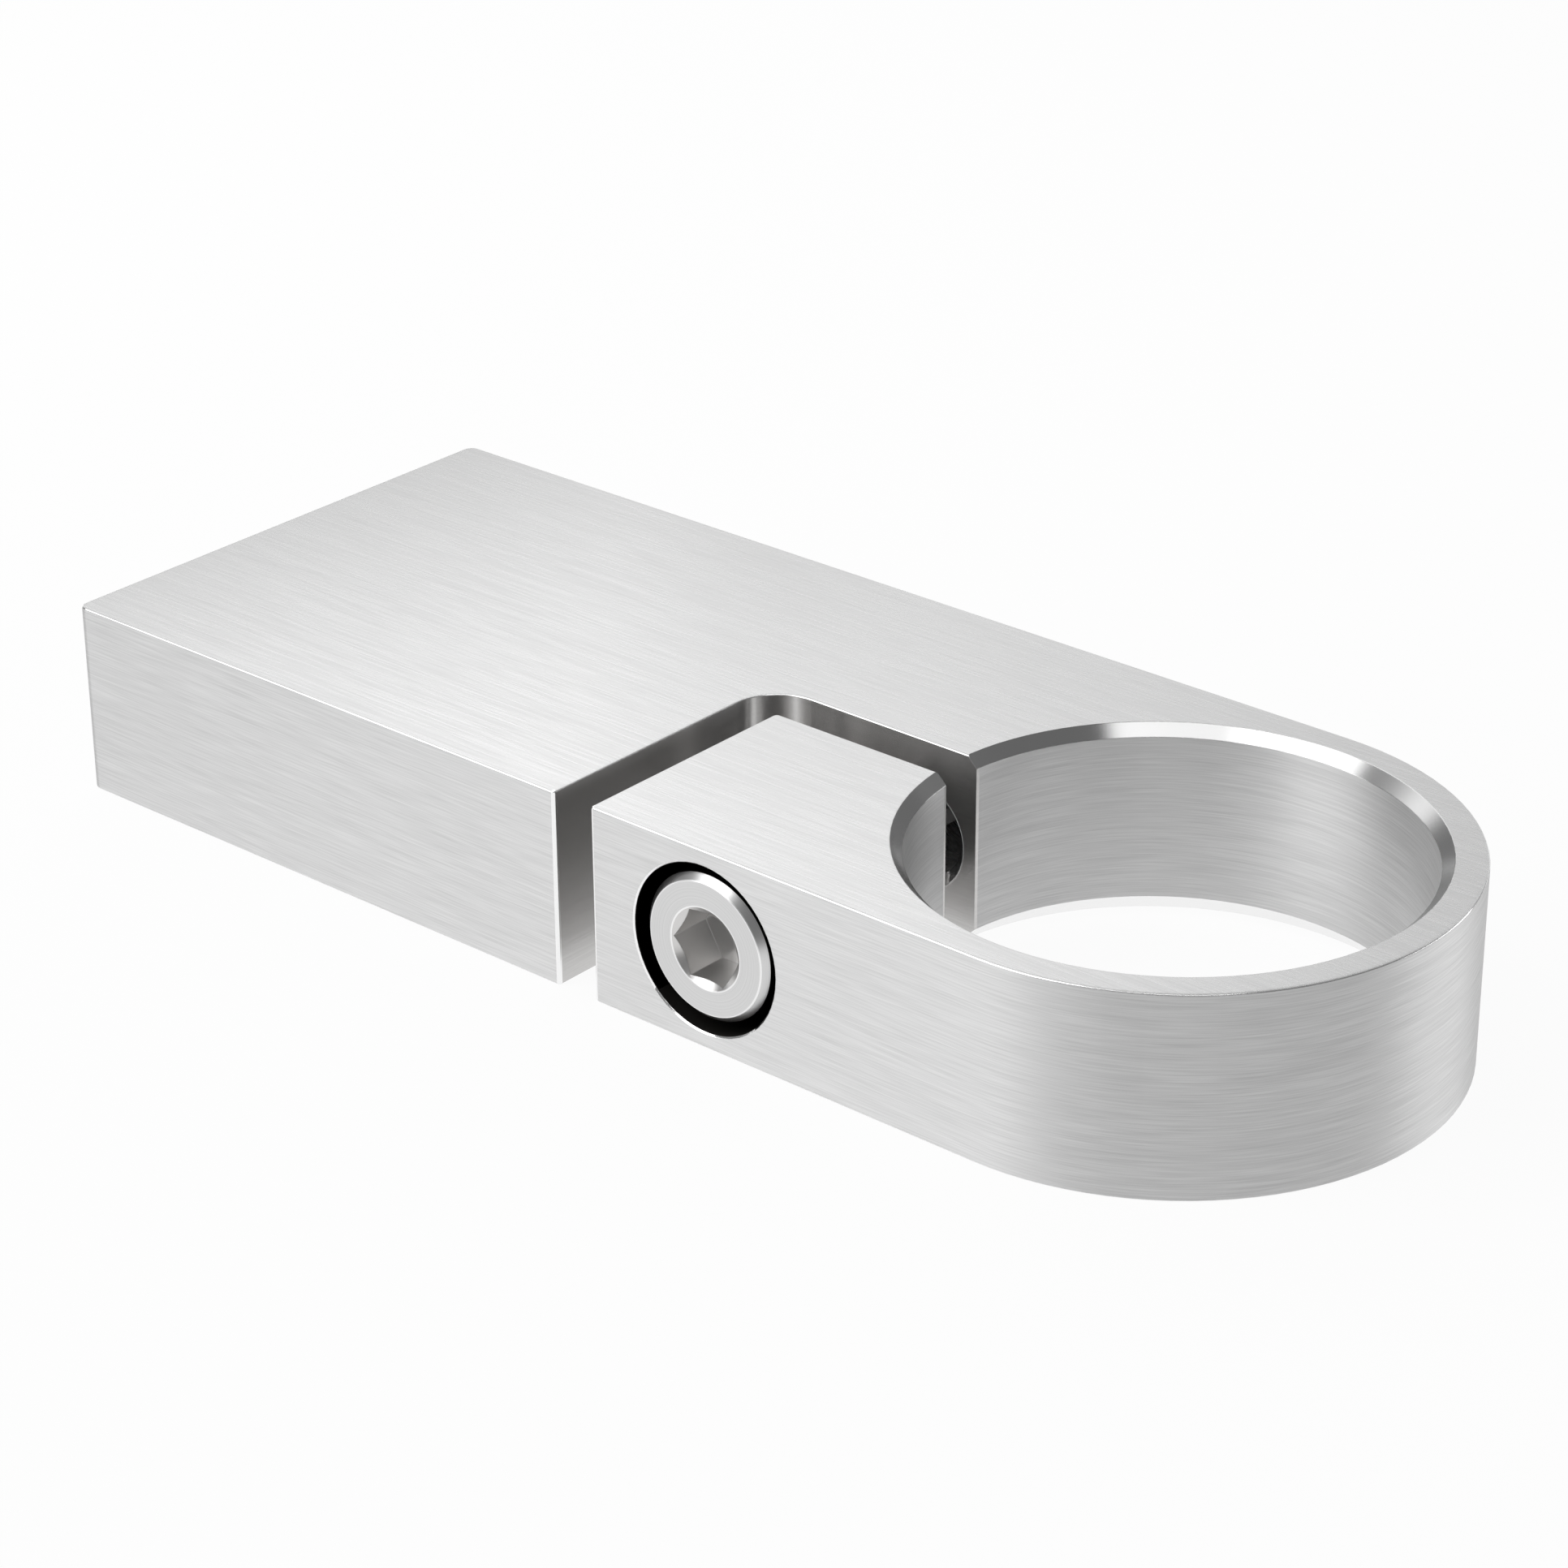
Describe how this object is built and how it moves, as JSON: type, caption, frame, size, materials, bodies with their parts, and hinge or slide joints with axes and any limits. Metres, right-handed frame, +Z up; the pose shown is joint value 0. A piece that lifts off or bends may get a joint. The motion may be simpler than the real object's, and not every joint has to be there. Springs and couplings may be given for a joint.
{
  "type": "side-mount post bracket",
  "caption": "Flat bar bracket that holds a round post beside a wall, with a split clamp ring closed by a socket-head screw.",
  "frame": {"origin": "on the post's axis, at half the bar's thickness", "axes": "+X from the wall face to the post, +Z up along the post, the clamp screw goes in from the -Y side"},
  "size_m": [0.127, 0.05, 0.018],
  "materials": {
    "bracket_steel": "satin, brushed along the bar and round the ring",
    "screw_steel": "plain machined"
  },
  "bodies": {
    "bracket": {"bracket_body": "bracket_steel"},
    "screw": {"clamp_screw": "screw_steel"}
  },
  "joints": [
    {"name": "screw_turn", "type": "hinge", "parent": "bracket", "child": "screw", "pos_m": [-0.0275, -0.0248, 0], "axis": [0, -1, 0], "range_deg": [0, 450]}
  ]
}
